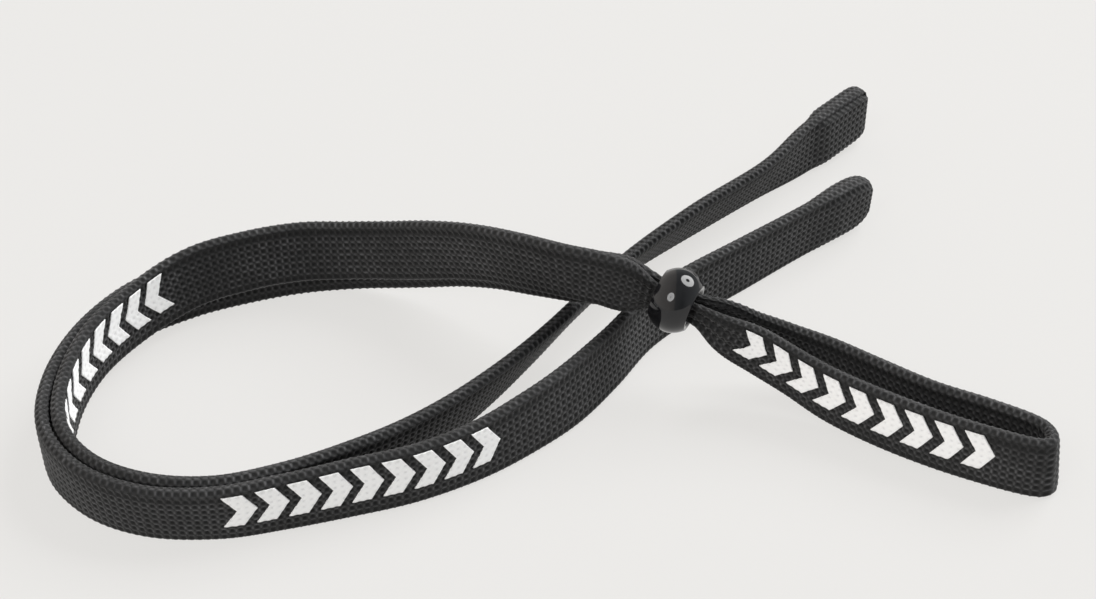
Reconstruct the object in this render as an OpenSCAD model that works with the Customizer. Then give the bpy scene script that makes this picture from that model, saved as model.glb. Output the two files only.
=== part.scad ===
// Eyewear retainer: one flat tubular strap doubled through a round sliding bead.
// The strap stands on edge on a flat surface, along X, with a small loop at +X and a large one at -X.
// The origin is at the middle of the footprint, on the surface. Units are millimetres.

/* [Strap] */
// Width of the flat tubular strap
strap_w = 10; // [9:0.5:10.5]
// Thickness of one strand
strap_t = 2; // [1.6:0.1:2.1]
// Clear gap between the two strands where they run side by side
strand_gap = 0.3; // [0.2:0.05:0.4]

/* [Bead] */
// Outside diameter
bead_d = 9.6; // [9:0.2:11]
// Length along the bore
bead_l = 5.8; // [5:0.2:6.4]
// Diameter of the bore that both strands pass through
bore_d = 5.4; // [5.2:0.1:5.8]
// Radius of the rounding at each mouth of the bore
mouth_r = 0.5; // [0.3:0.1:0.6]

/* [Temple sleeves] */
// Length of the turned-in hem at each end of the strap
sleeve_l = 14; // [13:0.5:16]
// Thickness of the hem
sleeve_t = 4; // [3.2:0.1:4]
// Diameter of the slack hollow that takes a temple tip
temple_d = 2.4; // [1.6:0.1:2.4]
// Depth of the hollow
temple_depth = 12; // [8:0.5:12]
// Depth and width of the flare at the hollow's mouth
flare = 0.4; // [0.2:0.1:0.4]

/* [Print] */
// Height of the row of chevrons
print_h = 6; // [4:0.5:7]
// How far the row stands above the middle of the strap
print_rise = 1.2; // [0:0.1:1.4]
// Thickness of the ink
ink_t = 0.15; // [0.1:0.05:0.2]
// Part of each chevron's pitch that is inked
ink_share = 0.62; // [0.4:0.02:0.7]

/* [Hidden] */

strap_colour = [0.07, 0.07, 0.075];
bead_colour = [0.02, 0.02, 0.025];
ink_colour = [0.95, 0.95, 0.94];

// Shift that brings the footprint's middle to the origin
footprint_shift = [0.2, 1.2];

// Bead centre above the surface, and where its bore points: turn about Z and dip below level
bead_at = [18.4, -15.9, 15];
bead_turn = -24;
bead_dip = 12;

// The strap is a route of points [x, y, height of its lower edge, lean, share of full width].
// A lean above 0 tips the upper edge to the left of the direction of travel.
// The pair is the middle line of the two strands that lie side by side, from the bead round to
// where they part; its last value is how much higher the inner strand lies than the outer one.
PAIR = [
    [18.4, -15.9, 13, 0, 0.36, 0],
    [15.5, -14.7, 13.3, 0, 0.45, 0.1],
    [12, -13.4, 10.8, 3, 0.9, 1],
    [8, -12.2, 10.2, 7, 1, 1.9],
    [3, -10.7, 9.6, 8, 1, 2.8],
    [-3, -7.6, 8.6, 7, 1, 3.2],
    [-9, -3.8, 7.1, 6, 1, 3.2],
    [-15, -0.2, 4.9, 4, 1, 3.2],
    [-22, 3.1, 2.3, -1, 1, 3.2],
    [-30, 5.1, 0.5, -3, 1, 3.5],
    [-38, 4.9, 0, -6, 1, 3.8],
    [-46, 2.6, 0, -8, 1, 3.7],
    [-54, -1.1, 0, -7, 1, 3.3],
    [-61.6, -7.1, 0, -5, 1, 1.6],
    [-67, -16.1, 0, -3, 1, 1.3],
    [-69.5, -26.4, 0, -2, 1, 0.6],
    [-68.5, -36.6, 0, -3, 1, 0.3],
    [-62.8, -44.2, 0, -7, 1, 0.2],
    [-54.5, -48.2, 0, -9, 1, 0.2],
    [-45, -48.6, 0, -9, 1, 0],
    [-36, -46.4, 0, -4, 1, 0]
];
// The inner strand from the parting, under the pair, to its hem
INNER_TAIL = [
    [-28.3, -41, 0, -8, 1],
    [-20.9, -35.9, 0, -13, 1],
    [-13.8, -29.5, 0, -16, 1],
    [-7.3, -21.6, 0, -22, 1],
    [-1.3, -12.9, 0, -27, 1],
    [5, -2.8, 0, -31, 1],
    [11.7, 6.5, 0, -31, 1],
    [21.5, 16.8, 0, -26, 1],
    [33.8, 28.8, 0, -21, 0.94],
    [42.3, 37.6, 0.1, -3, 1]
];
// The outer strand from the parting, under the bead, to its hem
OUTER_TAIL = [
    [-26.9, -44.7, 0, 0, 1],
    [-17.9, -41.6, 0, 0, 1],
    [-9.8, -37, 0, 2, 1],
    [-2.8, -31.4, 0, 4, 1.05],
    [3.3, -25.1, 0, 7, 1.06],
    [9, -16.9, 0, 8, 1.01],
    [14.5, -8.2, 0, 4, 1],
    [21.2, -1.3, 0, 1, 1],
    [30, 6.2, 0, -2, 1],
    [40.1, 14.8, 0.1, -5, 1]
];
// The small loop, out of the bead along the front, round the fold and back
SMALL_LOOP = [
    [21.7, -18.4, 12.1, 0, 0.38],
    [25.5, -20, 8.7, 0, 0.66],
    [30, -21.2, 6, 0, 0.8],
    [35, -23.4, 3.7, 0, 0.84],
    [40.5, -26.7, 1.5, 0, 0.94],
    [47, -30.5, 0.4, 0, 0.98],
    [54.5, -34.8, 0, 0, 1],
    [61.5, -38.3, 0, 0, 1],
    [67, -40.5, 0, 0, 1],
    [69.4, -40.2, 0, 4, 1],
    [69.7, -37.8, 0, 6, 1],
    [67.4, -35.5, 0, 0, 1],
    [61.5, -32, 0, 0, 1],
    [54.5, -28.3, 0, 0, 1],
    [47, -23.3, 0.2, 0, 1],
    [40.5, -19.1, 1.3, 0, 0.93],
    [34.5, -16.6, 3.3, 0, 0.8],
    [29.5, -15.9, 6, 0, 0.68],
    [25.5, -16, 9.5, 0, 0.54],
    [21.7, -16.3, 12.5, 0, 0.38]
];

// Number of points round each of the two rounded edges of a section
EDGE_POINTS = 6;
// Part of a chevron's pitch that is left clear at each end, so that it stays on its own stretch
ink_margin = 0.03;

// Points of the whole strap from the inner hem to the outer hem, and where the named ones fall
n_pair = len(PAIR);
n_tail = len(INNER_TAIL);
n_loop = len(SMALL_LOOP);
inner_bead = n_tail + n_pair - 1;
loop_start = inner_bead + 1;
outer_bead = loop_start + n_loop;
strap_end = outer_bead + n_pair + n_tail - 1;

// A strand thins as it is squeezed
function thickness(share) = strap_t * (0.7 + 0.3 * share);
function unit(v) = v / norm(v);
function middle_height(low, lean, share) =
    low + thickness(share) / 2 + (strap_w * share - thickness(share)) / 2 * cos(lean);

// A point of the route as [x, y, z, lean, share], with its middle at the height that its edge gives
function raised(p) = [p.x, p.y, middle_height(p.z, p[3], p[4]), p[3], p[4]];
function backwards(route) = [for (i = [len(route) - 1 : -1 : 0])
    [route[i].x, route[i].y, route[i].z, -route[i][3], route[i][4]]];

// One strand of the pair, beside the middle line: side is 1 for the inner strand and -1 for the outer
function beside(side) = [for (i = [0 : n_pair - 1])
    let (before = PAIR[max(0, i - 1)])
    let (after = PAIR[min(n_pair - 1, i + 1)])
    let (along = unit([after.x - before.x, after.y - before.y]))
    let (p = PAIR[i])
    let (spread = (thickness(p[4]) + strand_gap + p[5] * sin(p[3])) / cos(p[3]))
    let (apart = side * spread / 2)
    let (lift = side > 0 ? p[5] : 0)
    raised([p.x - along.y * apart, p.y + along.x * apart, p.z + lift, p[3], p[4]])];

INNER = [for (p = INNER_TAIL) raised(p)];
OUTER = [for (p = OUTER_TAIL) raised(p)];
LOOP = [for (p = SMALL_LOOP) raised(p)];
STRAP = concat(backwards(concat(beside(1), INNER)), LOOP, beside(-1), OUTER);

function at(i) = [STRAP[i].x + footprint_shift.x, STRAP[i].y + footprint_shift.y, STRAP[i].z];

// Directions at a point of the route: along it, across its width and out of its face
function along(i) = unit(at(min(strap_end, i + 1)) - at(max(0, i - 1)));
function left_of(t) = unit([-t.y, t.x, 0]);
function across(i) =
    let (left = left_of(along(i)))
    let (up = cross(along(i), left))
    up * cos(STRAP[i][3]) + left * sin(STRAP[i][3]);
function outward(i) = cross(across(i), along(i));

// Twelve points round the strand at one point of the route, with rounded edges
function ring(i) =
    let (t = thickness(STRAP[i][4]))
    let (reach = (strap_w * STRAP[i][4] - t) / 2)
    [for (edge = [1, -1])
        for (k = [0 : EDGE_POINTS - 1])
            let (turn = 180 * k / (EDGE_POINTS - 1))
            at(i) + outward(i) * edge * t / 2 * cos(turn)
            + across(i) * edge * (reach + t / 2 * sin(turn))];

// Closed tube through the rings, two triangles to each of its side patches
module tube(rings) {
    sides = 2 * EDGE_POINTS;
    last = len(rings) - 1;
    walls = [for (r = [0 : last - 1])
        for (k = [0 : sides - 1])
            let (a = r * sides + k)
            let (b = r * sides + (k + 1) % sides)
            each [[a, b, b + sides], [a, b + sides, a + sides]]];
    ends = [
        [for (k = [sides - 1 : -1 : 0]) k],
        [for (k = [0 : sides - 1]) last * sides + k]
    ];
    polyhedron(points = [for (r = rings) each r], faces = concat(walls, ends));
}

// The strap between two points of its route
module strand(first, last) {
    color(strap_colour)
        tube([for (i = [first : last]) ring(i)]);
}

// The hem continues a strand straight on from an end of the route: way is 1 or -1 along it
module sleeve(i, way) {
    face = sleeve_t / 2;
    color(strap_colour)
        multmatrix(frame_at(at(i), outward(i), across(i), along(i) * way))
            difference() {
                linear_extrude(sleeve_l)
                    rounded_bar(strap_w * STRAP[i][4], face);
                translate([0, 0, sleeve_l - temple_depth])
                    cylinder(d = temple_d, h = temple_depth + 1, $fn = 48);
                // the flare runs on past the end, to twice its depth
                translate([0, 0, sleeve_l - flare])
                    cylinder(d1 = temple_d, d2 = temple_d + 4 * flare, h = 2 * flare, $fn = 48);
            }
}

module rounded_bar(width, edge_r) {
    square([2 * edge_r, width - 2 * edge_r], center = true);
    for (end = [-1, 1])
        translate([0, end * (width / 2 - edge_r)])
            circle(r = edge_r, $fn = 32);
}

// Columns x, y and z, with x turned over where needed to keep the frame right-handed
function frame_at(p, x, y, z) =
    let (side = cross(x, y) * z < 0 ? -x : x)
    [
        [side.x, y.x, z.x, p.x],
        [side.y, y.y, z.y, p.y],
        [side.z, y.z, z.z, p.z],
        [0, 0, 0, 1]
    ];

// A place on the printed face, from where it is along the route, how far across and how far off
function face_point(i, v, off) =
    at(i) - outward(i) * (thickness(STRAP[i][4]) / 2 + off) + across(i) * v * STRAP[i][4];
function on_face(s, v, off) =
    let (i = floor(s))
    face_point(i, v, off) * (i + 1 - s) + face_point(i + 1, v, off) * (s - i);

// A solid chevron that points along the strap, as two leaning bars that meet
module chevron(s, pitch) {
    inked = pitch * ink_share;
    rows = [
        [print_rise - print_h / 2, 0],
        [print_rise, pitch - inked],
        [print_rise + print_h / 2, 0]
    ];
    corners = [for (off = [0, ink_t])
        for (r = rows)
            each [on_face(s + r[1], r[0], off), on_face(s + r[1] + inked, r[0], off)]];
    sides = [
        [0, 1, 3, 2], [2, 3, 5, 4], [8, 9, 7, 6], [10, 11, 9, 8],
        [6, 7, 1, 0], [4, 5, 11, 10], [0, 2, 8, 6], [2, 4, 10, 8], [7, 9, 3, 1], [9, 11, 5, 3]
    ];
    polyhedron(points = corners, faces = [for (q = sides)
        each [[q[0], q[1], q[2]], [q[0], q[2], q[3]]]]);
}

// A row of chevrons on the stretches between two points of the route, some to each stretch
module chevron_row(first, last, each_stretch) {
    pitch = 1 / each_stretch;
    color(ink_colour)
        for (i = [first : last - 1])
            for (k = [0 : each_stretch - 1])
                chevron(i + (k + ink_margin) * pitch, pitch * (1 - 2 * ink_margin));
}

// Barrel-shaped bead with a through bore and rounded mouths
module bead() {
    half = bead_l / 2;
    bore_r = bore_d / 2;
    // half-length at which the barrel's elliptical outline would close
    full_half = bead_l * 0.72;
    belly = [for (z = [-half : bead_l / 16 : half + 0.001])
        [bead_d / 2 * sqrt(1 - pow(z / full_half, 2)), z]];
    mouth = [for (turn = [90 : -22.5 : 0])
        [bore_r + mouth_r * (1 - cos(turn)), half - mouth_r * (1 - sin(turn))]];
    foot = [for (i = [len(mouth) - 1 : -1 : 0]) [mouth[i].x, -mouth[i].y]];
    color(bead_colour)
        translate([bead_at.x + footprint_shift.x, bead_at.y + footprint_shift.y, bead_at.z])
            rotate([0, 90 + bead_dip, bead_turn])
                rotate_extrude($fn = 72)
                    polygon(concat(belly, mouth, foot));
}

module small_loop() { strand(loop_start + 4, outer_bead - 5); }
module gather_inner() { strand(inner_bead - 7, loop_start + 4); }
module gather_outer() { strand(outer_bead - 5, outer_bead + 7); }
module inner_strand_back() { strand(inner_bead - 12, inner_bead - 7); }
module inner_strand_bend() { strand(n_tail, inner_bead - 12); }
module inner_strand_tail() { strand(0, n_tail); }
module outer_strand_back() { strand(outer_bead + 7, outer_bead + 12); }
module outer_strand_bend() { strand(outer_bead + 12, outer_bead + n_pair - 1); }
module outer_strand_tail() { strand(outer_bead + n_pair - 1, strap_end); }
module temple_sleeve_inner() { sleeve(0, -1); }
module temple_sleeve_outer() { sleeve(strap_end, 1); }
module print_small_loop() { chevron_row(loop_start + 2, loop_start + 7, 2); }
module print_front() { chevron_row(outer_bead + 19, outer_bead + 23, 2); }
module print_bend() { chevron_row(inner_bead - 16, inner_bead - 12, 2); }

bead();
small_loop();
gather_inner();
gather_outer();
inner_strand_back();
inner_strand_bend();
inner_strand_tail();
outer_strand_back();
outer_strand_bend();
outer_strand_tail();
temple_sleeve_inner();
temple_sleeve_outer();
print_small_loop();
print_front();
print_bend();
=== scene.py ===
"""Looks for the eyewear retainer: a flat knitted strap doubled through a glossy sliding bead."""

import math

import bpy
import numpy as np
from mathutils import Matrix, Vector


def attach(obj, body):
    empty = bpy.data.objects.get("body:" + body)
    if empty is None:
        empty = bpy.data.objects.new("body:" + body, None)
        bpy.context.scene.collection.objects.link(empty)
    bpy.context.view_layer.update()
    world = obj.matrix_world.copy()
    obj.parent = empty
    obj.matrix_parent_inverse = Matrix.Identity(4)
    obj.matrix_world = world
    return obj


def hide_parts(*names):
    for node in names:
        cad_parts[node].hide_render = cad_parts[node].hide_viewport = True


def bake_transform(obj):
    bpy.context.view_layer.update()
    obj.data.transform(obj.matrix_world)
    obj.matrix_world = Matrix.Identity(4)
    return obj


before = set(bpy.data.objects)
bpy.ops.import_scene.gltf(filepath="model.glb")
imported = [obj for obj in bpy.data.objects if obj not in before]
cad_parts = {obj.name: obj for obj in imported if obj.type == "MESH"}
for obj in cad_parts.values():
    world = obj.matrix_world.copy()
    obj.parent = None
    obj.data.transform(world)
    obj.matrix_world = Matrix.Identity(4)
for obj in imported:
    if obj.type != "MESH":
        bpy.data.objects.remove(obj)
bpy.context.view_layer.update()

MM = 0.001

# ---------------------------------------------------------------------------------------------
# Camera: a long lens, in millimetres, looking down at the middle of the strap
# ---------------------------------------------------------------------------------------------
CAMERA_LENS = 80
CAMERA_SENSOR = 36
CAMERA_NEAR = 0.01
CAMERA_FAR = 10
CAMERA_ELEVATION = math.radians(38)
CAMERA_DISTANCE = 0.3745
CAMERA_TARGET = Vector((0.0002, 0.0047, 0))


def make_camera():
    data = bpy.data.cameras.new("camera")
    data.lens = CAMERA_LENS
    data.sensor_width = CAMERA_SENSOR
    data.clip_start = CAMERA_NEAR
    data.clip_end = CAMERA_FAR
    camera = bpy.data.objects.new("camera", data)
    back = Vector((0, -math.cos(CAMERA_ELEVATION), math.sin(CAMERA_ELEVATION)))
    camera.location = CAMERA_TARGET + back * CAMERA_DISTANCE
    camera.rotation_euler = (math.pi / 2 - CAMERA_ELEVATION, 0, 0)
    bpy.context.scene.collection.objects.link(camera)
    bpy.context.scene.camera = camera


make_camera()

# ---------------------------------------------------------------------------------------------
# Route of the strap, as in the CAD, in metres: x, y, height of the lower edge, lean in degrees,
# share of the full width, and in the pair how much higher the inner strand lies
# ---------------------------------------------------------------------------------------------
PAIR = np.array([
    (0.0184, -0.0159, 0.013, 0, 0.36, 0),
    (0.0155, -0.0147, 0.0133, 0, 0.45, 0.0001),
    (0.012, -0.0134, 0.0108, 3, 0.9, 0.001),
    (0.008, -0.0122, 0.0102, 7, 1, 0.0019),
    (0.003, -0.0107, 0.0096, 8, 1, 0.0028),
    (-0.003, -0.0076, 0.0086, 7, 1, 0.0032),
    (-0.009, -0.0038, 0.0071, 6, 1, 0.0032),
    (-0.015, -0.0002, 0.0049, 4, 1, 0.0032),
    (-0.022, 0.0031, 0.0023, -1, 1, 0.0032),
    (-0.03, 0.0051, 0.0005, -3, 1, 0.0035),
    (-0.038, 0.0049, 0, -6, 1, 0.0038),
    (-0.046, 0.0026, 0, -8, 1, 0.0037),
    (-0.054, -0.0011, 0, -7, 1, 0.0033),
    (-0.0616, -0.0071, 0, -5, 1, 0.0016),
    (-0.067, -0.0161, 0, -3, 1, 0.0013),
    (-0.0695, -0.0264, 0, -2, 1, 0.0006),
    (-0.0685, -0.0366, 0, -3, 1, 0.0003),
    (-0.0628, -0.0442, 0, -7, 1, 0.0002),
    (-0.0545, -0.0482, 0, -9, 1, 0.0002),
    (-0.045, -0.0486, 0, -9, 1, 0),
    (-0.036, -0.0464, 0, -4, 1, 0),
])
INNER_TAIL = np.array([
    (-0.0283, -0.041, 0, -8, 1),
    (-0.0209, -0.0359, 0, -13, 1),
    (-0.0138, -0.0295, 0, -16, 1),
    (-0.0073, -0.0216, 0, -22, 1),
    (-0.0013, -0.0129, 0, -27, 1),
    (0.005, -0.0028, 0, -31, 1),
    (0.0117, 0.0065, 0, -31, 1),
    (0.0215, 0.0168, 0, -26, 1),
    (0.0338, 0.0288, 0, -21, 0.94),
    (0.0423, 0.0376, 0.0001, -3, 1),
])
OUTER_TAIL = np.array([
    (-0.0269, -0.0447, 0, 0, 1),
    (-0.0179, -0.0416, 0, 0, 1),
    (-0.0098, -0.037, 0, 2, 1),
    (-0.0028, -0.0314, 0, 4, 1.05),
    (0.0033, -0.0251, 0, 7, 1.06),
    (0.009, -0.0169, 0, 8, 1.01),
    (0.0145, -0.0082, 0, 4, 1),
    (0.0212, -0.0013, 0, 1, 1),
    (0.03, 0.0062, 0, -2, 1),
    (0.0401, 0.0148, 0.0001, -5, 1),
])
SMALL_LOOP = np.array([
    (0.0217, -0.0184, 0.0121, 0, 0.38),
    (0.0255, -0.02, 0.0087, 0, 0.66),
    (0.03, -0.0212, 0.006, 0, 0.8),
    (0.035, -0.0234, 0.0037, 0, 0.84),
    (0.0405, -0.0267, 0.0015, 0, 0.94),
    (0.047, -0.0305, 0.0004, 0, 0.98),
    (0.0545, -0.0348, 0, 0, 1),
    (0.0615, -0.0383, 0, 0, 1),
    (0.067, -0.0405, 0, 0, 1),
    (0.0694, -0.0402, 0, 4, 1),
    (0.0697, -0.0378, 0, 6, 1),
    (0.0674, -0.0355, 0, 0, 1),
    (0.0615, -0.032, 0, 0, 1),
    (0.0545, -0.0283, 0, 0, 1),
    (0.047, -0.0233, 0.0002, 0, 1),
    (0.0405, -0.0191, 0.0013, 0, 0.93),
    (0.0345, -0.0166, 0.0033, 0, 0.8),
    (0.0295, -0.0159, 0.006, 0, 0.68),
    (0.0255, -0.016, 0.0095, 0, 0.54),
    (0.0217, -0.0163, 0.0125, 0, 0.38),
])
FOOTPRINT_SHIFT = np.array([0.0002, 0.0012, 0])

STRAP_W = 10 * MM
STRAP_T = 2.0 * MM
# Shares of that thickness: what the tightest squeeze leaves, and what the full width adds
SQUEEZED_T = 0.7
WIDTH_ADDS_T = 0.3
# Radius of the strap's corners, as a share of its thickness
ROUND_CORNER = 0.49
STRAND_GAP = 0.3 * MM
SLEEVE_L = 14 * MM
SLEEVE_T = 4 * MM
# Points on the curve to each stretch of the route, and every how many rings a free strand's path has one
CURVE_POINTS = 40
PATH_STEP = 4

# The bead: centre, bore direction towards the small loop, and size
BEAD_AT = np.array([18.4, -15.9, 15]) * MM + FOOTPRINT_SHIFT
BEAD_TURN = math.radians(-24)
BEAD_DIP = math.radians(12)
BEAD_AXIS = np.array([
    math.cos(BEAD_TURN) * math.cos(BEAD_DIP),
    math.sin(BEAD_TURN) * math.cos(BEAD_DIP),
    -math.sin(BEAD_DIP),
])
BEAD_D = 9.6 * MM
BEAD_L = 5.8 * MM
BORE_D = 5.4 * MM

# The knit: length of one stitch, rows of stitches round the tube, and mesh points to each
STITCH = 1.1 * MM
ROWS = 20
RINGS_PER_STITCH = 6
POINTS_PER_ROW = 6


def thickness(share):
    return STRAP_T * (SQUEEZED_T + WIDTH_ADDS_T * share)


def raised(points):
    """Rows of the route with the height of the middle in place of the lower edge's."""
    x, y, low, lean, share = points[:, :5].T
    t = thickness(share)
    z = low + t / 2 + (STRAP_W * share - t) / 2 * np.cos(np.radians(lean))
    return np.stack([x, y, z, lean, share], axis=1)


def backwards(points):
    """The same rows in the opposite order, where the lean changes its sign."""
    return points[::-1] * (1, 1, 1, -1, 1)


def beside(side):
    """One strand of the pair: side is 1 for the inner strand and -1 for the outer."""
    before = np.vstack([PAIR[:1], PAIR[:-1]])[:, :2]
    after = np.vstack([PAIR[1:], PAIR[-1:]])[:, :2]
    along = after - before
    along /= np.linalg.norm(along, axis=1)[:, None]
    lean = np.radians(PAIR[:, 3])
    spread = (thickness(PAIR[:, 4]) + STRAND_GAP + PAIR[:, 5] * np.sin(lean)) / np.cos(lean)
    apart = side * spread / 2
    strand = PAIR[:, :5].copy()
    strand[:, 0] -= along[:, 1] * apart
    strand[:, 1] += along[:, 0] * apart
    strand[:, 2] += PAIR[:, 5] * (side > 0)
    return raised(strand)


def with_tips(points):
    """The route with one more point at each end, at the tip of the hem."""
    ends = []
    for end, inside in ((points[0], points[1]), (points[-1], points[-2])):
        way = end[:3] - inside[:3]
        tip = end.copy()
        tip[:3] += way / np.linalg.norm(way) * SLEEVE_L
        ends.append(tip)
    return np.vstack([ends[0], points, ends[1]])


def curve_through(points, count):
    """A Catmull-Rom curve through the rows of points, with count points to each stretch."""
    first, last = 2 * points[0] - points[1], 2 * points[-1] - points[-2]
    padded = np.vstack([first, points, last])
    a, b, c, d = (padded[i : len(padded) - 3 + i, None] for i in range(4))
    t = (np.arange(count) / count)[None, :, None]
    curve = 2 * b + (c - a) * t + (2 * a - 5 * b + 4 * c - d) * t**2
    curve = (curve + (3 * b - a - 3 * c + d) * t**3) / 2
    return np.vstack([curve.reshape(-1, points.shape[1]), points[-1]])


def unit(v):
    return v / np.linalg.norm(v, axis=-1, keepdims=True)


class Strap:
    """The whole strap, measured in stitches from the tip of the inner hem."""

    def __init__(self):
        inner = backwards(np.vstack([beside(1), raised(INNER_TAIL)]))
        outer = np.vstack([beside(-1), raised(OUTER_TAIL)])
        points = np.vstack([inner, raised(SMALL_LOOP), outer])
        points[:, :3] += FOOTPRINT_SHIFT
        points = with_tips(points)
        curve = curve_through(points, CURVE_POINTS)
        steps = np.linalg.norm(np.diff(curve[:, :3], axis=0), axis=1)
        length = np.concatenate([[0], np.cumsum(steps)])
        self.length = length[-1]
        self.stitches = round(self.length / STITCH)
        self.stitch = self.length / self.stitches
        self.u = np.arange(self.stitches * RINGS_PER_STITCH + 1) / RINGS_PER_STITCH
        self.point_u = length[::CURVE_POINTS] / self.stitch
        self.rows = np.stack(
            [np.interp(self.u, length / self.stitch, curve[:, k]) for k in range(5)], axis=1
        )
        centre = self.rows[:, :3]
        along = unit(np.gradient(centre, axis=0))
        left = unit(np.stack([-along[:, 1], along[:, 0], 0 * along[:, 0]], axis=1))
        up = np.cross(along, left)
        lean = np.radians(self.rows[:, 3])[:, None]
        across = unit(up * np.cos(lean) + left * np.sin(lean))
        self.axes = np.concatenate([centre, along, across, np.cross(across, along)], axis=1)

    def mark(self, index):
        """The whole stitch nearest to a point of the CAD's route, counted as the CAD counts them."""
        return int(round(self.point_u[index + 1]))

    def at(self, u):
        """Centre, along, across, outward and share of the width at u, which may be an array."""
        found = [np.interp(u, self.u, self.axes[:, k]) for k in range(12)]
        centre, along, across, outward = (np.stack(found[k : k + 3], axis=-1) for k in (0, 3, 6, 9))
        share = np.interp(u, self.u, self.rows[:, 4])
        return centre, unit(along), unit(across), unit(outward), share

    def path(self, first, last):
        """Points along the middle of the strap between two whole stitches."""
        inside = (self.u >= first) & (self.u <= last)
        return self.axes[inside][::PATH_STEP, :3]


strap = Strap()
N_PAIR, N_TAIL, N_LOOP = len(PAIR), len(INNER_TAIL), len(SMALL_LOOP)
INNER_BEAD = N_TAIL + N_PAIR - 1
LOOP_START = INNER_BEAD + 1
OUTER_BEAD = LOOP_START + N_LOOP

# How many points of the route each gather takes: left of the bead, and right of it on the
# front and the back of the small loop
LEFT_SPAN = 7
FRONT_SPAN = 4
BACK_SPAN = 5

# Where each visible piece starts and ends, in stitches
TIP_INNER = 0
HEM_INNER = strap.mark(0)
PARTING_INNER = strap.mark(N_TAIL)
GATHER_INNER = strap.mark(INNER_BEAD - LEFT_SPAN)
IN_BEAD_INNER = strap.mark(INNER_BEAD)
GATHER_FRONT = strap.mark(LOOP_START + FRONT_SPAN)
GATHER_BACK = strap.mark(OUTER_BEAD - BACK_SPAN)
IN_BEAD_OUTER = strap.mark(OUTER_BEAD)
GATHER_OUTER = strap.mark(OUTER_BEAD + LEFT_SPAN)
PARTING_OUTER = strap.mark(OUTER_BEAD + N_PAIR - 1)
HEM_OUTER = strap.mark(OUTER_BEAD + N_PAIR + N_TAIL - 1)
TIP_OUTER = strap.stitches


# ---------------------------------------------------------------------------------------------
# The knit's surface
# ---------------------------------------------------------------------------------------------
# Depth of the knit's hollows, and how far its highest yarns stand out from the CAD's surface
RELIEF = 0.30 * MM
PROUD = 0.12 * MM

# Two families of yarns: how round a yarn is, and the shares of the relief that are under it,
# in its roundness, and in its wave over and under the other family
YARN_ROUND = 0.95
YARN_BASE = 0.2
YARN_BODY = 0.55
YARN_WAVE = 0.25

# Holes between the yarns, larger in one row beside each edge: reach, and depth as a share
HOLE_REACH = 0.23 * MM
HOLE_DEPTH = 0.9
LARGE_HOLE_REACH = 0.32 * MM
LARGE_HOLE_DEPTH = 1.1

# Loops along the edges: slant in stitches to a row, reach in rows, how much they smooth the
# knit and how much they stand up, as shares of the relief
LOOP_SLANT = 0.35
LOOP_REACH = 0.9
LOOP_SMOOTHS = 0.25
LOOP_RISES = 0.15

# Folds in each face beside the bead: depth, folds from the middle of the face to its edge,
# their drift in turns to a stitch, and the strength from which they fade towards the edge
PLEAT_DEPTH = 1.0 * MM
PLEATS = 2
PLEAT_DRIFT = 0.03
PLEAT_FADE = 1.6

# Slow unevenness: three waves in radians to a stitch, how many times the second is shifted
# further than the first, and how much the waves change the width and the thickness
WOBBLE_PACES = (0.37, 0.171, 0.093)
WOBBLE_SHIFT = 2.1
WIDTH_WOBBLE = 0.012
THICKNESS_WOBBLE = 0.03


def section(q, width, thick, corner):
    """Points and normals round a rounded bar, q turns from the middle of its upper edge.
    The first of each pair of values is outward, the second across."""
    half_w, half_t = width / 2, thick / 2
    top = half_t - corner
    bend = math.pi / 2 * corner
    side = 2 * (half_w - corner)
    half_round = 2 * (top + bend) + side
    s = np.abs((q + 0.5) % 1 - 0.5) * 2 * half_round
    mirror = np.where((q % 1) > 0.5, -1.0, 1.0)
    lower = s > half_round / 2
    s = np.where(lower, half_round - s, s)
    turn = np.clip((s - top) / corner, 0, math.pi / 2)
    n = np.minimum(s, top) + corner * np.sin(turn)
    m = half_w - corner + corner * np.cos(turn) - np.maximum(s - top - bend, 0)
    flip = np.where(lower, -1.0, 1.0)
    return n * mirror, m * flip, np.sin(turn) * mirror, np.cos(turn) * flip


def knit(x, y, stitch, row):
    """Height, from 0 to 1, of two families of crossing yarns. x counts stitches and y rows,
    whose lengths are stitch and row."""
    a, b = x + y, x - y
    n, m = np.floor(a), np.floor(b)
    round_a = np.sqrt(1 - YARN_ROUND * (2 * (b - m) - 1) ** 2)
    round_b = np.sqrt(1 - YARN_ROUND * (2 * (a - n) - 1) ** 2)
    over_a = np.cos(math.pi * (a - 0.5 + m))
    over_b = -np.cos(math.pi * (b - 0.5 + n))
    yarn_a = YARN_BODY * round_a + YARN_WAVE * over_a
    yarn_b = YARN_BODY * round_b + YARN_WAVE * over_b
    height = YARN_BASE + np.maximum(yarn_a, yarn_b)
    near = ((x - np.round(x)) * stitch) ** 2 + ((y - np.round(y)) * row) ** 2
    k = np.round(y) % (ROWS / 2)
    large = (k == 1) | (k == ROWS / 2 - 2)
    reach = np.where(large, LARGE_HOLE_REACH, HOLE_REACH)
    depth = np.where(large, LARGE_HOLE_DEPTH, HOLE_DEPTH)
    return np.clip(height - depth * np.exp(-near / (2 * reach**2)), 0, 1)


def scallop(x, y):
    """The slanting loops along both edges, from 0 to 1."""
    from_edge = (y + 0.5 + ROWS / 4) % (ROWS / 2) - ROWS / 4
    wave = 0.5 + 0.5 * np.cos(2 * math.pi * (x + LOOP_SLANT * from_edge))
    return wave * np.exp(-((from_edge / LOOP_REACH) ** 2))


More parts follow.
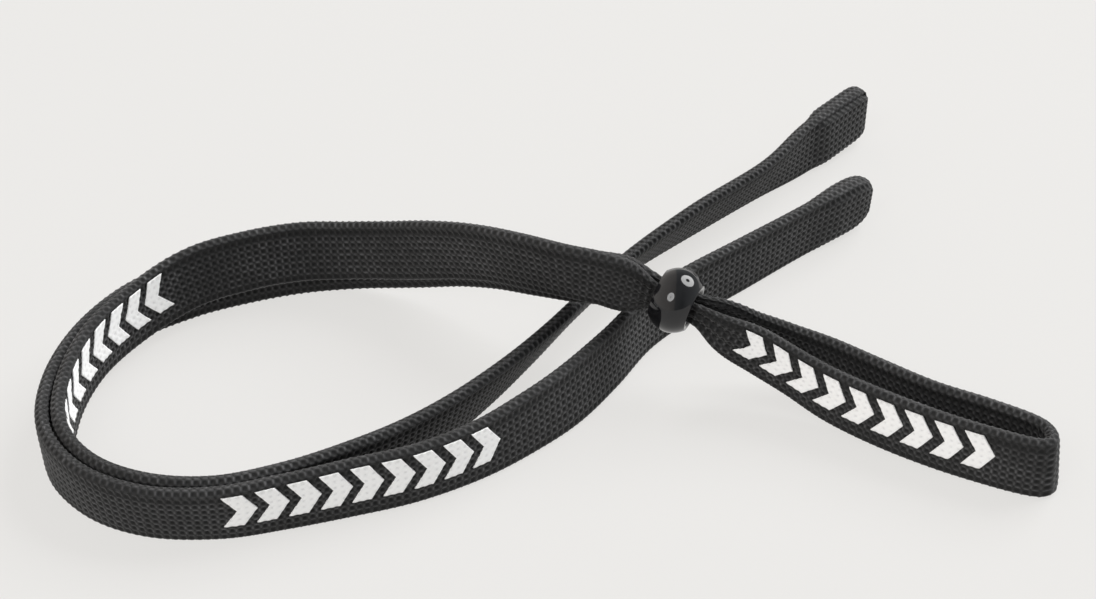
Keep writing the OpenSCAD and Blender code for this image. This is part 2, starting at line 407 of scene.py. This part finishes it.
def pleat(u, q, share):
    """How far the faces fold in where the strap is squeezed. The variable face is 0 in the
    middle of a face and 1 at an edge."""
    squeezed = np.clip(1 - share, 0, 1)
    face = np.abs(((q * 2) % 1) - 0.5) * 2
    folds = 0.5 - 0.5 * np.cos(2 * math.pi * (PLEATS * face + PLEAT_DRIFT * u))
    return PLEAT_DEPTH * squeezed * folds * np.clip(PLEAT_FADE - 2 * face, 0, 1)


def wobble(u, phase):
    """A slow, small unevenness along the strap, from -1 to 1."""
    fast, slow, slowest = WOBBLE_PACES
    return (np.sin(fast * u + phase) + np.sin(slow * u + WOBBLE_SHIFT * phase) + np.sin(slowest * u)) / 3


def knit_width(u, share):
    return STRAP_W * share * (1 + WIDTH_WOBBLE * wobble(u, 1.0))


def knit_thickness(u, share):
    return thickness(share) * (1 + THICKNESS_WOBBLE * wobble(u, 2.0))


def turns_round():
    """Every mesh point's place round the tube, in turns from the middle of the upper edge."""
    return np.arange(ROWS * POINTS_PER_ROW) / (ROWS * POINTS_PER_ROW)


def surface(u, q, width=None, thick=None, corner=None, lift=0.0, relief=1.0, aside=0.0):
    """Points on the knit at u stitches along and q turns round, and the stitch, the row and the
    knit's height there. lift raises the surface, relief scales the knit's relief, and aside
    shifts the whole section outward."""
    centre, along, across, outward, share = strap.at(u)
    width = knit_width(u, share) if width is None else width
    thick = knit_thickness(u, share) if thick is None else thick
    corner = ROUND_CORNER * thick if corner is None else corner
    n, m, normal_n, normal_m = section(q, width, thick, corner)
    x, y = u, q * ROWS - 0.5
    height = knit(x, y, strap.stitch, 2 * (width + thick) / ROWS)
    edge = scallop(x, y)
    rise = RELIEF * ((height - 1) * (1 - LOOP_SMOOTHS * edge) + LOOP_RISES * edge) * relief
    rise = rise + PROUD + lift - pleat(u, q, share)
    n, m = n + normal_n * rise + aside, m + normal_m * rise
    points = centre + outward * n[..., None] + across * m[..., None]
    return points, np.stack([x + 0 * y, y + 0 * x, height], axis=-1)


# ---------------------------------------------------------------------------------------------
# Meshes
# ---------------------------------------------------------------------------------------------
def make_object(name, points, faces, material, stitches=None, smooth=True):
    """A mesh object. stitches holds each point's stitch, row and height for the material."""
    mesh = bpy.data.meshes.new(name)
    mesh.from_pydata(points.reshape(-1, 3).tolist(), [], faces)
    mesh.polygons.foreach_set("use_smooth", [smooth] * len(mesh.polygons))
    if stitches is not None:
        attribute = mesh.attributes.new("stitch", "FLOAT_VECTOR", "POINT")
        attribute.data.foreach_set("vector", stitches.reshape(-1).astype(np.float32))
    mesh.materials.append(material)
    piece = bpy.data.objects.new(name, mesh)
    bpy.context.scene.collection.objects.link(piece)
    return piece


def tube_faces(rings, sides):
    """Quads round a tube whose points are rings rows of sides points."""
    r, k = np.meshgrid(np.arange(rings - 1), np.arange(sides), indexing="ij")
    a, b = r * sides + k, r * sides + (k + 1) % sides
    return np.stack([a, b, b + sides, a + sides], axis=-1).reshape(-1, 4)


def closed_tube(name, points, stitches, material, inside_out=False):
    """A tube with a cap on each end. The caps have their own points, so that they don't bend
    the smooth shading at the end of the knit."""
    rings, sides = points.shape[:2]
    faces = tube_faces(rings, sides)
    rows, marks = [points.reshape(-1, 3)], [stitches.reshape(-1, 3)]
    caps = []
    start = rings * sides
    for end, turn in ((0, 1), (-1, -1)):
        middle = points[end].mean(axis=0, keepdims=True)
        rows += [points[end], middle]
        marks += [stitches[end], stitches[end].mean(axis=0, keepdims=True)]
        k = np.arange(sides)
        fan = np.stack([start + (k + 1) % sides, start + k, 0 * k + start + sides], axis=1)
        caps.append(fan[:, ::turn])
        start += sides + 1
    faces = faces.tolist() + np.vstack(caps).tolist()
    if not inside_out:
        faces = [face[::-1] for face in faces]
    return make_object(name, np.vstack(rows), faces, material, np.vstack(marks))


def strand(name, first, last, material):
    """The knit between two whole stitches."""
    u = np.arange(first * RINGS_PER_STITCH, last * RINGS_PER_STITCH + 1) / RINGS_PER_STITCH
    points, stitches = surface(*np.meshgrid(u, turns_round(), indexing="ij"))
    return closed_tube(name, points, stitches, material)


def dome(distance, radius):
    """From 0 at the tip to 1 at radius and beyond, as a quarter circle."""
    left = 1 - np.clip(distance / radius, 0, 1)
    return np.sqrt(1 - left**2)


# The hem's mouth: radius of its lip, points round it, and the lining's depth, how much each
# side of it closes in for its length, and its share of the knit's relief
LIP = 0.45 * MM
LIP_POINTS = 11
LINING_L = 9 * MM
LINING_NARROWS = 0.06
LINING_RELIEF = 0.4

# The crease along a hem: its share of the full depth, what the notch at the tip adds and how
# long that is, its width in turns, and the relief above which a point counts as outside
CREASE_SHARE = 0.6
NOTCH_ADDS = 0.7
NOTCH_L = 2 * MM
CREASE_W = 0.016
OUTSIDE_RELIEF = 0.9


def sleeve(name, tip, hem, shape, material):
    """The hem from the strap to its open mouth, and back inside as the hollow's lining. d is
    the distance from the tip."""
    way = 1 if hem > tip else -1
    hem_share = float(strap.at(hem)[4])
    hem_l = abs(hem - tip) * strap.stitch
    wall_d = np.arange(hem_l, LIP, -strap.stitch / RINGS_PER_STITCH)
    turn = np.linspace(0, math.pi, LIP_POINTS)
    lip_d = LIP * (1 - np.sin(turn))
    inside_d = np.arange(LIP, LINING_L, 2 * strap.stitch / RINGS_PER_STITCH)[1:]
    d = np.concatenate([wall_d, lip_d, inside_d])
    inset = np.concatenate([0 * wall_d, LIP * (1 - np.cos(turn)), 0 * inside_d + 2 * LIP])
    inset = inset + np.concatenate([0 * wall_d, 0 * lip_d, LINING_NARROWS * (inside_d - LIP)])
    lip_fade = 1 - (1 - LINING_RELIEF) * turn / math.pi
    fade = np.concatenate([0 * wall_d + 1, lip_fade, 0 * inside_d + LINING_RELIEF])
    begun = np.clip((hem_l - d) / shape["step"], 0, 1)
    begun = begun**2 * (3 - 2 * begun)
    flat_t = knit_thickness(hem, hem_share)
    flat_w = knit_width(hem, hem_share)
    round_w = shape["tip_w"] + (1 - shape["tip_w"]) * dome(d, shape["round_w"])
    round_t = shape["tip_t"] + (1 - shape["tip_t"]) * dome(d, shape["round_t"])
    width = flat_w * round_w - 2 * inset
    thick = (flat_t + (SLEEVE_T * shape["plump"] - flat_t) * begun) * round_t - 2 * inset
    corner = thick * (ROUND_CORNER + (shape["corner"] - ROUND_CORNER) * begun)
    u = tip + way * d / strap.stitch
    u, q = np.meshgrid(u, turns_round(), indexing="ij")
    # The hem swells more on one face, and a crease runs to its tip beside the upper edge
    aside = way * shape["back"] * begun * (flat_t - SLEEVE_T * shape["plump"]) / 2
    crease = begun * (CREASE_SHARE + NOTCH_ADDS * np.exp(-((d / NOTCH_L) ** 2))) * shape["crease"]
    turns = (q - way * shape["crease_at"] + 0.5) % 1 - 0.5
    outside = fade[:, None] > OUTSIDE_RELIEF
    groove = crease[:, None] * np.exp(-((turns / CREASE_W) ** 2)) * outside
    points, stitches = surface(
        u, q, width[:, None], thick[:, None], corner[:, None], lift=-groove,
        relief=fade[:, None], aside=aside[:, None],
    )
    return closed_tube(name, points, stitches, material, inside_out=way > 0)


def face_turns(v, width, thick, corner):
    """How many turns round the section the place v across the printed face is."""
    top = thick / 2 - corner
    bend = math.pi / 2 * corner
    half_round = 2 * (top + bend) + width - 2 * corner
    return 1 - (top + bend + width / 2 - corner - v) / (2 * half_round)


# ---------------------------------------------------------------------------------------------
# Printed chevrons
# ---------------------------------------------------------------------------------------------
# A row of them: height, how far it stands above the middle of the face, and its spacing on the
# large loop and on the small one
PRINT_H = 6 * MM
PRINT_RISE = 1.2 * MM
CHEVRONS = 9
CHEVRON_PITCH = 4.4 * MM
LOOP_PITCH = 4.5 * MM
# One chevron: width of its stroke along the strap, and how far its point stands forward
CHEVRON_STROKE = 2.7 * MM
CHEVRON_POINT = 1.9 * MM
# The ink's upper and lower face over the knit, and its share of the knit's relief
INK_LIFT = 0.09 * MM
INK_ROOT = -0.10 * MM
INK_RELIEF = 0.3
# Mesh points across the strap and along it
CHEVRON_ROWS = 33
CHEVRON_COLUMNS = 15


def print_row(name, start, way, which, pitch, material):
    """The chevrons numbered in which, on the face, from start stitches, pointing way along the
    strap. Each is a thin closed block."""
    v = np.linspace(-1, 1, CHEVRON_ROWS)
    along = np.linspace(0, 1, CHEVRON_COLUMNS)
    v, along = np.meshgrid(v, along, indexing="ij")
    points, stitches, faces = [], [], []
    r, c = np.meshgrid(np.arange(CHEVRON_ROWS - 1), np.arange(CHEVRON_COLUMNS - 1), indexing="ij")
    a = (r * CHEVRON_COLUMNS + c).reshape(-1)
    top = np.stack([a, a + 1, a + CHEVRON_COLUMNS + 1, a + CHEVRON_COLUMNS], axis=1)
    count = CHEVRON_ROWS * CHEVRON_COLUMNS
    grid = np.arange(count).reshape(CHEVRON_ROWS, CHEVRON_COLUMNS)
    rim = np.concatenate([grid[0], grid[1:, -1], grid[-1, -2::-1], grid[-2:0:-1, 0]])
    wall = np.stack([rim, rim + count, np.roll(rim, -1) + count, np.roll(rim, -1)], axis=1)
    block = np.vstack([top, top[:, ::-1] + count, wall])
    for i in which:
        distance = i * pitch + along * CHEVRON_STROKE + CHEVRON_POINT * (1 - np.abs(v))
        u = start + way * distance / strap.stitch
        share = strap.at(u)[4]
        width = STRAP_W * share
        thick = thickness(share)
        height = (PRINT_RISE + v * PRINT_H / 2) * share
        q = face_turns(height, width, thick, ROUND_CORNER * thick)
        for lift in (INK_LIFT, INK_ROOT):
            on_knit, marks = surface(u, q, width, thick, lift=lift, relief=INK_RELIEF)
            points.append(on_knit.reshape(-1, 3))
            stitches.append(marks.reshape(-1, 3))
        faces.append(block + 2 * count * len(faces))
    faces = np.vstack(faces)
    if way < 0:
        faces = faces[:, ::-1]
    return make_object(name, np.vstack(points), faces.tolist(), material, np.vstack(stitches))


# ---------------------------------------------------------------------------------------------
# Materials
# ---------------------------------------------------------------------------------------------
def fill_ramp(ramp, stops):
    """Gives a colour ramp its stops, each a place and a colour."""
    while len(ramp.elements) < len(stops):
        ramp.elements.new(0.5)
    for element, (place, colour) in zip(ramp.elements, stops):
        element.position = place
        element.color = (*colour, 1)


class Nodes:
    """A short way to write a node tree."""

    def __init__(self, name):
        self.material = bpy.data.materials.new(name)
        self.material.use_nodes = True
        self.tree = self.material.node_tree
        self.shader = self.tree.nodes["Principled BSDF"]

    def add(self, kind, *inputs, **settings):
        """A new node. Its inputs are, in order, outputs to link, numbers to set, or None."""
        node = self.tree.nodes.new(kind)
        for key, value in settings.items():
            setattr(node, key, value)
        for socket, value in zip(node.inputs, inputs):
            if value is None:
                continue
            if isinstance(value, bpy.types.NodeSocket):
                self.tree.links.new(value, socket)
            else:
                socket.default_value = value
        return node

    def math(self, operation, *inputs):
        return self.add("ShaderNodeMath", *inputs, operation=operation).outputs[0]

    def ramp(self, value, stops):
        node = self.add("ShaderNodeValToRGB", value)
        fill_ramp(node.color_ramp, stops)
        return node.outputs[0]

    def noise(self, place, scale, detail):
        return self.add("ShaderNodeTexNoise", place, None, scale, detail).outputs[0]

    def vary(self, value, noise, span):
        """The value, up to half the span more or less where the noise says."""
        swing = self.math("MULTIPLY", self.math("SUBTRACT", noise, 0.5), span)
        return self.math("ADD", value, swing)

    def spread(self, noise, least, span):
        """From least upwards by the span, as the noise goes from 0 to 1."""
        return self.math("ADD", least, self.math("MULTIPLY", noise, span))

    def weigh(self, first, first_weight, second, second_weight):
        """The weighted sum of two outputs."""
        first = self.math("MULTIPLY", first, first_weight)
        second = self.math("MULTIPLY", second, second_weight)
        return self.math("ADD", first, second)

    def bump(self, height, strength, distance):
        node = self.add("ShaderNodeBump")
        node.inputs["Strength"].default_value = strength
        node.inputs["Distance"].default_value = distance
        self.tree.links.new(height, node.inputs["Height"])
        self.link(node.outputs[0], "Normal")

    def link(self, output, name):
        self.tree.links.new(output, self.shader.inputs[name])

    def set(self, **values):
        for name, value in values.items():
            self.shader.inputs[name.replace("_", " ")].default_value = value


def knit_coordinates(nodes):
    """The stitch and row coordinates that the meshes carry, and the knit's height."""
    stitch = nodes.add("ShaderNodeAttribute", attribute_name="stitch").outputs["Vector"]
    return nodes.add("ShaderNodeSeparateXYZ", stitch).outputs


# Fibres to a yarn, and an even number that keeps the count of cells above zero
FIBRES = 7
EVEN_START = 4000.0


def knit_material():
    """Black polyester: painted shade that darkens the holes and hollows by the knit's height, a painted
    highlight that lightens the tops of the yarns, a random tone for each crossing, fibres along each
    yarn, and fuzz.
    """
    nodes = Nodes("strap_knit")
    x, y, height = knit_coordinates(nodes)
    a, b = nodes.math("ADD", x, y), nodes.math("SUBTRACT", x, y)
    cell_a, cell_b = nodes.math("FLOOR", a), nodes.math("FLOOR", b)
    cells = nodes.math("ADD", nodes.math("ADD", cell_a, cell_b), EVEN_START)
    parity = nodes.math("MODULO", cells, 2.0)
    fibre = nodes.weigh(a, parity, b, nodes.math("SUBTRACT", 1.0, parity))
    lines = nodes.math("SINE", nodes.math("MULTIPLY", fibre, 2 * math.pi * FIBRES))
    place = nodes.add("ShaderNodeCombineXYZ", cell_a, cell_b, 0.0).outputs[0]
    each = nodes.add("ShaderNodeTexWhiteNoise", place, noise_dimensions="3D").outputs["Value"]
    where = nodes.add("ShaderNodeTexCoord").outputs["Object"]
    slow = nodes.noise(where, scale=90.0, detail=2.0)
    fuzz = nodes.noise(where, scale=9000.0, detail=3.0)
    shade = nodes.vary(height, each, span=0.16)
    shade = nodes.vary(shade, slow, span=0.35)
    # Painted shade and painted highlight: by the knit's height, the ramp runs from near black in the
    # holes to the lightest grey on the tops of the yarns
    colour = nodes.ramp(shade, [
        (0.30, (0.0003, 0.0003, 0.0004)),
        (0.60, (0.006, 0.006, 0.0062)),
        (0.85, (0.030, 0.030, 0.031)),
        (1.0, (0.084, 0.084, 0.087)),
    ])
    nodes.link(colour, "Base Color")
    nodes.link(nodes.spread(fuzz, least=0.46, span=0.22), "Roughness")
    detail = nodes.weigh(lines, 0.35, fuzz, 0.9)
    nodes.bump(detail, strength=0.55, distance=0.04 * MM)
    nodes.set(Sheen_Weight=0.15, Sheen_Roughness=0.45, Specular_IOR_Level=0.28)
    return nodes.material


def ink_material():
    """White transfer ink, with painted shade that greys it a little in the knit's hollows, and a random
    grain.
    """
    nodes = Nodes("print_ink")
    height = knit_coordinates(nodes)[2]
    where = nodes.add("ShaderNodeTexCoord").outputs["Object"]
    grain = nodes.noise(where, scale=5000.0, detail=3.0)
    shade = nodes.weigh(height, 0.5, grain, 0.5)
    # Painted shade: the lower the knit under the ink, the greyer; the grain adds a random tone
    colour = nodes.ramp(shade, [
        (0.15, (0.74, 0.74, 0.74)),
        (0.40, (0.92, 0.92, 0.92)),
        (0.70, (0.97, 0.97, 0.965)),
    ])
    nodes.link(colour, "Base Color")
    nodes.bump(grain, strength=0.5, distance=0.03 * MM)
    nodes.set(Roughness=0.5)
    return nodes.material


def bead_material():
    """Glossy black plastic with a faint smear."""
    nodes = Nodes("bead_plastic")
    where = nodes.add("ShaderNodeTexCoord").outputs["Object"]
    swirl = nodes.noise(where, scale=700.0, detail=3.0)
    colour = nodes.ramp(swirl, [(0.3, (0.004, 0.004, 0.005)), (0.7, (0.009, 0.009, 0.010))])
    nodes.link(colour, "Base Color")
    smear = nodes.noise(where, scale=250.0, detail=4.0)
    nodes.link(nodes.spread(smear, least=0.03, span=0.08), "Roughness")
    nodes.bump(smear, strength=0.15, distance=0.05 * MM)
    nodes.set(Specular_IOR_Level=0.5)
    return nodes.material


# The table glows and reflects: shadows only take away what it reflects
FLOOR_GLOW = (0.685, 0.675, 0.658)
FLOOR_COLOUR = (0.105, 0.105, 0.105)


def floor_material():
    nodes = Nodes("floor")
    nodes.set(Base_Color=(*FLOOR_COLOUR, 1), Roughness=0.9, Specular_IOR_Level=0.0)
    nodes.set(Emission_Color=(*FLOOR_GLOW, 1), Emission_Strength=1.0)
    return nodes.material


def lamp_material(strength):
    nodes = Nodes("lamp")
    nodes.set(Base_Color=(0, 0, 0, 1), Emission_Color=(1, 1, 1, 1), Emission_Strength=strength)
    return nodes.material


KNIT = knit_material()
INK = ink_material()
PLASTIC = bead_material()

# ---------------------------------------------------------------------------------------------
# The strap's pieces
# ---------------------------------------------------------------------------------------------
# How a hem differs from the strap. It reaches its full size within step. plump is its share of
# the CAD's thickness, corner its corners' radius as a share, and back how unevenly its two
# faces swell. tip_w and tip_t are the shares of its width and thickness left at the tip, where it
# rounds off within round_w and round_t. crease is the fold's depth, at crease_at turns.
SQUARE_HEM = {
    "step": 4.5 * MM, "plump": 0.98, "corner": 0.36, "back": 0.1,
    "tip_w": 0.74, "round_w": 3 * MM, "tip_t": 0.66, "round_t": 2.4 * MM,
    "crease": 0.7 * MM, "crease_at": 0.062,
}
PLUMP_HEM = {
    "step": 8 * MM, "plump": 1.02, "corner": 0.49, "back": 0.2,
    "tip_w": 0.44, "round_w": 5.6 * MM, "tip_t": 0.52, "round_t": 4 * MM,
    "crease": 0.0, "crease_at": 0.062,
}


def strap_piece(piece, *nodes):
    """Hides the CAD nodes that a piece of knit stands for."""
    if nodes:
        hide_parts(*nodes)
    return piece


def make_free_strand(name, first, last, nodes, starts):
    """A stretch of strap that lies free. Its path is turned to start at whichever end it leaves, but
    nothing uses the path.
    """
    piece = strap_piece(strand(name, first, last, KNIT), *nodes)
    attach(piece, "strap")
    path = strap.path(first, last)
    if starts == last:
        path = path[::-1]


def make_gather(name, in_bead, outside, nodes):
    """A squeezed stretch beside the bead."""
    first, last = sorted((in_bead, outside))
    piece = strap_piece(strand(name, first, last, KNIT), *nodes)
    blend_with_bead(piece)


def blend_with_bead(piece):
    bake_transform(piece)


make_gather("gather_inner_left", IN_BEAD_INNER, GATHER_INNER, ["gather_inner"])
make_gather("gather_inner_right", IN_BEAD_INNER, GATHER_FRONT, [])
make_gather("gather_outer_left", IN_BEAD_OUTER, GATHER_OUTER, ["gather_outer"])
make_gather("gather_outer_right", IN_BEAD_OUTER, GATHER_BACK, [])

sleeve_inner = strap_piece(
    sleeve("temple_sleeve_inner_knit", TIP_INNER, HEM_INNER, SQUARE_HEM, KNIT), "temple_sleeve_inner"
)
sleeve_outer = strap_piece(
    sleeve("temple_sleeve_outer_knit", TIP_OUTER, HEM_OUTER, PLUMP_HEM, KNIT), "temple_sleeve_outer"
)
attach(sleeve_inner, "strap")
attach(sleeve_outer, "strap")

make_free_strand(
    "small_loop_knit", GATHER_FRONT, GATHER_BACK, ["small_loop"], GATHER_FRONT
)
make_free_strand(
    "inner_strand_loop", PARTING_INNER, GATHER_INNER,
    ["inner_strand_back", "inner_strand_bend"], GATHER_INNER,
)
make_free_strand(
    "inner_strand_end", HEM_INNER, PARTING_INNER, ["inner_strand_tail"],
    PARTING_INNER,
)
make_free_strand(
    "outer_strand_loop", GATHER_OUTER, PARTING_OUTER,
    ["outer_strand_back", "outer_strand_bend"], GATHER_OUTER,
)
make_free_strand(
    "outer_strand_end", PARTING_OUTER, HEM_OUTER, ["outer_strand_tail"],
    PARTING_OUTER,
)


def make_print(name, start, way, which, replaced, pitch=CHEVRON_PITCH):
    """A printed row and the CAD node that it stands for."""
    piece = print_row(name, start, way, which, pitch, INK)
    if replaced:
        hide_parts(replaced)
    return piece


# Where each print starts, in stitches: a short way from a point of the route
FRONT_PRINT_U = strap.mark(OUTER_BEAD + 19) + 1.2 * MM / strap.stitch
LOOP_PRINT_U = strap.mark(LOOP_START + 1) + 2 * MM / strap.stitch
BEND_PRINT_U = strap.mark(INNER_BEAD - 12) - 4.6 * MM / strap.stitch
# On the small loop, the chevrons that lie on the gather are a piece of their own
gather_chevrons = math.floor((GATHER_FRONT - LOOP_PRINT_U) * strap.stitch / LOOP_PITCH)
loop_print_near = make_print(
    "print_small_loop_gather", LOOP_PRINT_U, 1, range(gather_chevrons), None, LOOP_PITCH
)
blend_with_bead(loop_print_near)
loop_print_far = make_print(
    "print_small_loop_ink", LOOP_PRINT_U, 1, range(gather_chevrons, CHEVRONS),
    "print_small_loop", LOOP_PITCH,
)
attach(loop_print_far, "strap")
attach(make_print("print_front_ink", FRONT_PRINT_U, 1, range(CHEVRONS), "print_front"), "strap")
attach(make_print("print_bend_ink", BEND_PRINT_U, -1, range(CHEVRONS), "print_bend"), "strap")


# ---------------------------------------------------------------------------------------------
# The bead
# ---------------------------------------------------------------------------------------------
# The belly is an ellipse that would close at this share of the length from the middle. It
# stops short of the bead's ends, and the shoulder's two points lie this far in from its corner.
BELLY_CLOSES = 0.72
BELLY_STOPS = 0.12 * MM
SHOULDER = np.array([(0.06, 0.03), (0.2, 0)]) * MM
# Radius of the bore's rounded mouths
RIM_R = 0.5 * MM
# Points along the belly, along the bore and round a rim, and sides of the whole bead
BELLY_POINTS = 41
BORE_POINTS = 9
RIM_POINTS = 9
BEAD_SIDES = 128


def bead_outline():
    """Radius and place along the bore, once round the wall's section."""
    half = BEAD_L / 2
    z = np.linspace(-half + BELLY_STOPS, half - BELLY_STOPS, BELLY_POINTS)
    belly = np.stack([BEAD_D / 2 * np.sqrt(1 - (z / (BEAD_L * BELLY_CLOSES)) ** 2), z], axis=1)
    turn = np.linspace(math.pi / 2, 0, RIM_POINTS)
    mouth_r = BORE_D / 2 + RIM_R * (1 - np.cos(turn))
    mouth = np.stack([mouth_r, half - RIM_R * (1 - np.sin(turn))], axis=1)
    wall = np.linspace(half - RIM_R, -half + RIM_R, BORE_POINTS)[1:-1]
    bore = np.stack([0 * wall + BORE_D / 2, wall], axis=1)
    shoulder = np.array([(belly[-1, 0], half)]) - SHOULDER
    far = np.vstack([belly, shoulder, mouth])
    near = np.vstack([mouth[::-1] * (1, -1), shoulder[::-1] * (1, -1)])
    return np.vstack([far, bore, near])


def make_bead():
    """The outline turned round the bore."""
    outline = bead_outline()
    turn = 2 * math.pi * np.arange(BEAD_SIDES) / BEAD_SIDES
    side = unit(np.cross(BEAD_AXIS, (0, 0, 1)))
    up = np.cross(side, BEAD_AXIS)
    radial = np.cos(turn)[:, None] * side + np.sin(turn)[:, None] * up
    points = BEAD_AT + outline[:, None, :1] * radial + outline[:, None, 1:] * BEAD_AXIS
    faces = tube_faces(len(outline) + 1, BEAD_SIDES) % (len(outline) * BEAD_SIDES)
    piece = make_object("slider_bead", points, faces.tolist(), PLASTIC)
    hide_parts("bead")
    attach(piece, "bead")


make_bead()


# ---------------------------------------------------------------------------------------------
# Studio: a pale table that glows as if lit from below, ring lamps behind on the right and in
# front on the left, and a tent that is brighter on the left. The lamps stand far behind the
# camera's distance, so that they don't hide the object from any side.
# ---------------------------------------------------------------------------------------------
FLOOR_HALF = 4.0
LAMP_SIDES = 64
KEY_DIRECTION = (0.57, 0.45, 0.69)
FRONT_DIRECTION = (-0.38, -0.58, 0.72)

# The tent from left to right: place from -1 to 1, brightness and tint
WARM = (1.0, 0.95, 0.90)
COOL = (0.94, 0.98, 1.0)
TENT = [
    (-1.0, 1.10, WARM), (-0.45, 0.85, WARM), (-0.06, 0.62, WARM), (-0.02, 0.34, COOL),
    (0.5, 0.26, COOL), (1.0, 0.55, COOL),
]


def make_floor():
    corners = np.array([(-1, -1, 0), (1, -1, 0), (1, 1, 0), (-1, 1, 0)]) * FLOOR_HALF
    floor = make_object("floor", corners, [(0, 1, 2, 3)], floor_material(), smooth=False)


def make_ring_lamp(name, direction, distance, outer, inner, strength):
    """A flat glowing ring that faces the bead."""
    direction = unit(np.array(direction, float))
    side = unit(np.cross(direction, (0, 0, 1)))
    up = np.cross(side, direction)
    turn = np.linspace(0, 2 * math.pi, LAMP_SIDES, endpoint=False)[:, None]
    radial = np.cos(turn) * side + np.sin(turn) * up
    centre = BEAD_AT + direction * distance
    points = np.vstack([centre + radial * outer, centre + radial * inner])
    k = np.arange(LAMP_SIDES)
    after = (k + 1) % LAMP_SIDES
    faces = np.stack([k, after, after + LAMP_SIDES, k + LAMP_SIDES], axis=1)
    lamp = make_object(name, points, faces.tolist(), lamp_material(strength), smooth=False)
    return lamp


def make_tent():
    """A world that is bright on the left and dim on the right, with an edge between them."""
    world = bpy.data.worlds.new("tent")
    world.use_nodes = True
    tree = world.node_tree
    background = tree.nodes["Background"]
    place = tree.nodes.new("ShaderNodeTexCoord")
    split = tree.nodes.new("ShaderNodeSeparateXYZ")
    ramp = tree.nodes.new("ShaderNodeValToRGB")
    half = tree.nodes.new("ShaderNodeMath")
    half.operation = "MULTIPLY_ADD"
    half.inputs[1].default_value = 0.5
    half.inputs[2].default_value = 0.5
    tree.links.new(place.outputs["Generated"], split.inputs[0])
    tree.links.new(split.outputs["X"], half.inputs[0])
    tree.links.new(half.outputs[0], ramp.inputs[0])
    tree.links.new(ramp.outputs[0], background.inputs["Color"])
    fill_ramp(ramp.color_ramp, [
        (0.5 + across / 2, [brightness * part for part in tint])
        for across, brightness, tint in TENT
    ])
    background.inputs["Strength"].default_value = 1.0
    bpy.context.scene.world = world
    bpy.context.scene.view_settings.view_transform = "Standard"


make_floor()
make_ring_lamp("key_lamp", KEY_DIRECTION, distance=1.5, outer=0.625, inner=0.175, strength=9.0)
make_ring_lamp("front_lamp", FRONT_DIRECTION, distance=1.5, outer=0.283, inner=0.05, strength=7.0)
glint = make_ring_lamp(
    "front_glint", FRONT_DIRECTION, distance=1.53, outer=0.416, inner=0.2, strength=8.0
)
# This ring shows only in glossy reflections
glint.visible_diffuse = False
make_tent()
